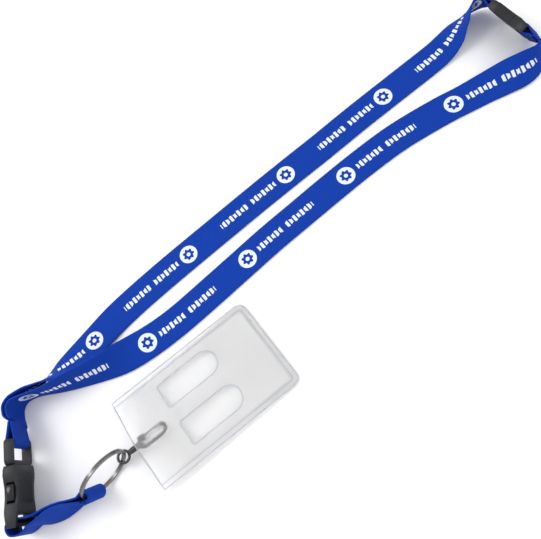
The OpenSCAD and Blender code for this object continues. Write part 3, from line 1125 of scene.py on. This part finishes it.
@dataclass
class CardHolder:
    """The frosted card holder: a flat back sheet and a front sheet with two thumb slots."""

    sheet: Material
    # Finish of the rims: real welded beads, greyed as painted edge shade.
    shaded_beading: Material
    length: float = 97.4
    width: float = 60.0
    sheet_t: float = 0.5
    weld: float = 3.0
    pocket: float = 1.0
    crown: float = 3.4
    shoulder: float = 1.5
    mouth_length: float = 36.0
    swell_half: float = 25.0
    slope: float = 2.2
    far: tuple = (-27.0, -24.0, 0.3)
    thumb_length: float = 38.0
    thumb_width: float = 15.0
    thumb_start: float = 31.6
    thumb_middles: tuple = (-12.8, 12.8)
    thumb_corner: float = 1.6
    corner: float = 5.0
    corner_fade: float = 20.0
    bead_sides: int = 8
    bead_inset: float = 0.35
    slot_bead: tuple = (0.42, 0.3)
    edge_bead: tuple = (0.33, 0.3)
    weld_bead: tuple = (0.3, 0.2)
    cut_heights: tuple = (-6.0, 12.0)
    cells: tuple = (110, 72)

    def world(self, points: np.ndarray) -> np.ndarray:
        """Moves points from the holder's axes, X running to the clip end, to the object's."""
        angle = math.radians(self.slope)
        rows = np.asarray(points, float)
        x = -rows[:, 0] * math.cos(angle) + rows[:, 2] * math.sin(angle)
        z = rows[:, 0] * math.sin(angle) + rows[:, 2] * math.cos(angle)
        return np.stack([x, rows[:, 1], z], axis=1) + np.array(self.far) + LAYOUT_SHIFT

    def rise(self, x: np.ndarray, y: np.ndarray) -> np.ndarray:
        """Gives how far the front sheet stands off the back sheet.

        Args:
            x: Millimetres from the far end.
            y: Millimetres from the middle.

        Returns:
            The rise in millimetres.
        """
        edge = np.minimum(x, self.width / 2 - np.abs(y))
        inner = np.clip((edge - self.weld) / self.shoulder, 0.0, 1.0)
        inner = inner * inner * (3 - 2 * inner)
        mouth = np.clip(1.0 - (self.length - x) / self.mouth_length, 0.0, 1.0) ** 1.4
        hill = np.cos(np.pi / 2 * y / self.swell_half) ** 2
        swell = np.where(np.abs(y) < self.swell_half, hill, 0.0)
        return self.pocket * inner + self.crown * mouth * swell

    def rounded(self, grid: np.ndarray) -> np.ndarray:
        """Pulls a sheet's grid in at the far end, so that its two corners are round.

        Args:
            grid: Points of X and Y.

        Returns:
            The points inside the rounded outline.
        """
        start = self.width / 2 - self.corner
        over = np.clip(np.abs(grid[:, 1]) - start, 0.0, self.corner)
        lost = self.corner - np.sqrt(self.corner**2 - over**2)
        fade = np.clip(1.0 - grid[:, 0] / self.corner_fade, 0.0, 1.0)
        return np.column_stack([grid[:, 0] + lost * fade, grid[:, 1]])

    def slot_outline(self, middle: float, grow: float = 0.0) -> list:
        """Gives the outline of a thumb slot: round at the far end, straight at the other.

        Args:
            middle: The slot's middle across the holder.
            grow: How far outside the edge the outline runs.

        Returns:
            Points of X and Y in the holder's axes.
        """
        half = self.thumb_width / 2 + grow
        centre = self.thumb_start + self.thumb_width / 2
        arc = np.linspace(math.pi / 2, 3 * math.pi / 2, 25)
        points = [(centre + half * math.cos(a), middle + half * math.sin(a)) for a in arc]
        end = self.thumb_start + self.thumb_length + grow
        soft = self.thumb_corner
        for y, start in ((middle - half + soft, -90), (middle + half - soft, 0)):
            for a in np.radians(np.linspace(start, start + 90, 6)):
                points.append((end - soft + soft * math.cos(a), y + soft * math.sin(a)))
        return points

    def front(self) -> None:
        """Builds the front sheet and cuts its thumb slots."""
        nx, ny = self.cells
        xs = np.linspace(0, self.length, nx)
        ys = np.linspace(-self.width / 2, self.width / 2, ny)
        grid = self.rounded(np.array([(x, y) for x in xs for y in ys]))
        low = self.sheet_t + self.rise(grid[:, 0], grid[:, 1])
        under = np.column_stack([grid, low])
        over = np.column_stack([grid, low + self.sheet_t])
        count = nx * ny
        faces = []
        for i in range(nx - 1):
            for j in range(ny - 1):
                a = i * ny + j
                faces.append((a, a + 1, a + ny + 1, a + ny))
                faces.append((a + count, a + ny + count, a + ny + 1 + count, a + 1 + count))
        rim = list(range(ny)) + [i * ny + ny - 1 for i in range(1, nx)]
        rim += [(nx - 1) * ny + j for j in range(ny - 2, -1, -1)]
        rim += [i * ny for i in range(nx - 2, 0, -1)]
        for a, b in zip(rim, rim[1:] + rim[:1]):
            faces.append((a, a + count, b + count, b))
        points = self.world(np.concatenate([under, over]))
        mesh = closed_mesh("holder_front_sheet", points, faces)
        piece = new_piece("holder_front_sheet", mesh, self.sheet)
        for middle in self.thumb_middles:
            self.cut(piece, middle)
        shade_smooth(piece.data, 40.0)
        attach(piece, Body.HOLDER.value)
        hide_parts("holder_front_panel")
        LOG.info("front sheet built, %d faces", len(piece.data.polygons))

    def cut(self, piece: Piece, middle: float) -> None:
        """Cuts one thumb slot through a sheet.

        Args:
            piece: The sheet.
            middle: The slot's middle across the holder.
        """
        outline = self.slot_outline(middle)
        rings = [(x, y, z) for z in self.cut_heights for x, y in outline]
        cutter = swept("slot_cutter", self.world(rings), len(outline), self.sheet, closed=False)
        bite = piece.modifiers.new("slot", "BOOLEAN")
        bite.object = cutter
        bite.solver = "EXACT"
        bake(piece)
        bpy.data.objects.remove(cutter)

    def edge_outline(self, inset: float) -> list:
        """Gives the sheet's outline, square at the clip end and round at the far end.

        Args:
            inset: How far inside the edge the outline runs.

        Returns:
            Points of X and Y in the holder's axes.
        """
        half, r = self.width / 2 - inset, max(self.corner - inset, 1.2)
        end = self.length - max(inset - self.weld, 0.25)
        points = [(x, half) for x in np.linspace(end, inset + r, 40)]
        points += [(inset + r - r * math.sin(a), half - r + r * math.cos(a))
                   for a in np.linspace(0, math.pi / 2, 8)[1:]]
        points += [(inset, y) for y in np.linspace(half - r, r - half, 24)[1:-1]]
        points += [(inset + r - r * math.cos(a), r - half - r * math.sin(a))
                   for a in np.linspace(0, math.pi / 2, 8)]
        points += [(x, -half) for x in np.linspace(inset + r, end, 40)[1:]]
        points += [(end, y) for y in np.linspace(-half, half, 26)[1:-1]]
        return points

    def bead(self, outline: list, width: float, height: float) -> bpy.types.Mesh:
        """Runs a low round bead along an outline on the front sheet.

        Args:
            outline: Points of X and Y.
            width: Half the bead's width.
            height: Half the bead's height.

        Returns:
            The bead's mesh, in place.
        """
        line = np.array(outline)
        run = np.roll(line, -1, axis=0) - np.roll(line, 1, axis=0)
        run /= np.linalg.norm(run, axis=1)[:, None]
        away = np.column_stack([run[:, 1], -run[:, 0]])
        top = self.sheet_t * 2 + self.rise(line[:, 0], line[:, 1])
        points = []
        for spot, side, level in zip(line, away, top):
            for a in np.radians(np.linspace(0, 360, self.bead_sides, endpoint=False)):
                flat = spot + side * width * math.cos(a)
                points.append((flat[0], flat[1], level + height * math.sin(a)))
        ring = swept("bead", self.world(points), self.bead_sides, self.shaded_beading, closed=True)
        mesh = ring.data
        bpy.data.objects.remove(ring)
        return mesh

    def beads(self) -> None:
        """Builds the raised rims round the thumb slots, the edge and the weld line."""
        lines = [(self.slot_outline(middle, self.bead_inset), self.slot_bead)
                 for middle in self.thumb_middles]
        lines.append((self.edge_outline(self.bead_inset), self.edge_bead))
        lines.append((self.edge_outline(self.weld + 0.3), self.weld_bead))
        meshes = [self.bead(outline, *size) for outline, size in lines]
        piece = joined("holder_beads", meshes, self.shaded_beading)
        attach(piece, Body.HOLDER.value)

    def build(self) -> None:
        """Builds the whole holder."""
        self.front()
        self.beads()
        dressed_node("holder_back_panel", self.sheet, Body.HOLDER)


# ---- camera and studio ----


@dataclass
class CameraRig:
    """The camera above the table, rolled so that the neck loop runs corner to corner."""

    spot: tuple = (-8.0, -123.0, 332.4)
    aim: tuple = (-0.9, 10.3, 0.0)
    roll: float = 36.4
    lens: float = 39.3

    def build(self) -> None:
        """Makes the camera and sets it as the scene's own."""
        data = bpy.data.cameras.new("camera")
        data.lens = self.lens
        data.clip_start = 0.01
        data.clip_end = 20.0
        camera = bpy.data.objects.new("camera", data)
        add_to_scene(camera)
        forward = Vector(self.aim) - Vector(self.spot)
        forward.normalize()
        level = forward.cross(Vector((0, 0, 1))).normalized()
        upright = level.cross(forward)
        angle = math.radians(self.roll)
        up = math.cos(angle) * upright + math.sin(angle) * level
        right = math.cos(angle) * level - math.sin(angle) * upright
        back = -forward
        pose = Matrix((right, up, back)).transposed().to_4x4()
        pose.translation = Vector((np.array(self.spot) + LAYOUT_SHIFT) * MM)
        camera.matrix_world = pose
        bpy.context.scene.camera = camera


@dataclass
class Studio:
    """A pale floor under soft light."""

    floor_size: float = 6.0
    floor_colour: tuple = (0.86, 0.86, 0.87)
    sky: float = 0.95
    key_power: float = 5.0
    fill_power: float = 2.0

    def lamp(self, name: str, spot: tuple, size: float, power: float) -> None:
        """Adds one soft area light that points at the object.

        Args:
            name: The light's name.
            spot: Where it hangs, in metres.
            size: Its side in metres.
            power: Its power in watts.
        """
        data = bpy.data.lights.new(name, "AREA")
        data.size = size
        data.energy = power
        light = bpy.data.objects.new(name, data)
        add_to_scene(light)
        light.location = spot
        light.rotation_euler = (-Vector(spot)).to_track_quat("-Z", "Y").to_euler()

    def build(self) -> None:
        """Builds the floor and the lights."""
        half = self.floor_size / 2
        mesh = bpy.data.meshes.new("floor")
        corners = [(-half, -half, 0), (half, -half, 0), (half, half, 0), (-half, half, 0)]
        mesh.from_pydata(corners, [], [(0, 1, 2, 3)])
        floor = new_piece("floor", mesh, Shader("floor_paint", self.floor_colour, 0.9).material)
        world = bpy.data.worlds.new("room")
        world.use_nodes = True
        light = world.node_tree.nodes["Background"]
        light.inputs["Color"].default_value = (1, 1, 1, 1)
        light.inputs["Strength"].default_value = self.sky
        bpy.context.scene.world = world
        self.lamp("key", (-0.5, 0.5, 0.9), 0.5, self.key_power)
        self.lamp("fill", (0.7, -0.3, 0.8), 0.8, self.fill_power)
        bpy.context.scene.view_settings.view_transform = "Standard"


def main() -> None:
    """Builds the whole look around the frame."""
    logging.basicConfig(level=logging.INFO, format="%(name)s: %(message)s")
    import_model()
    CameraRig().build()
    NeckStrap().build()
    webbing = Webbing("plain_webbing").build()
    thread = Webbing("sewing_thread", colour=(0.004, 0.03, 0.3)).build()
    Folds(webbing, thread).build()
    ShortStrap(webbing, thread).build()
    shell = Plastic("charcoal_plastic", (0.011, 0.012, 0.015), 0.5).build()
    button = Plastic("polished_button", (0.01, 0.01, 0.012), 0.2, 0.00001).build()
    Buckle(shell, button).build()
    BreakawayClasp(Plastic("satin_black", (0.007, 0.007, 0.009), 0.45).build()).build()
    SplitRing(Metal("nickel_plate", (0.2, 0.195, 0.19), 0.26).build()).build()
    TriggerClip(Metal("dark_nickel", (0.07, 0.07, 0.075), 0.34).build()).build()
    # The rims take a greyer, less clear copy of the frosted vinyl: the welded beads are real, and
    # their darker tone is painted edge shade.
    shaded_beading = FrostedSheet("welded_bead_and_edge_shade", colour=(0.72, 0.73, 0.78), clear=0.6, roughness=0.4)
    CardHolder(FrostedSheet("frosted_vinyl").build(), shaded_beading.build()).build()
    Studio().build()


if __name__ == "__main__":
    main()
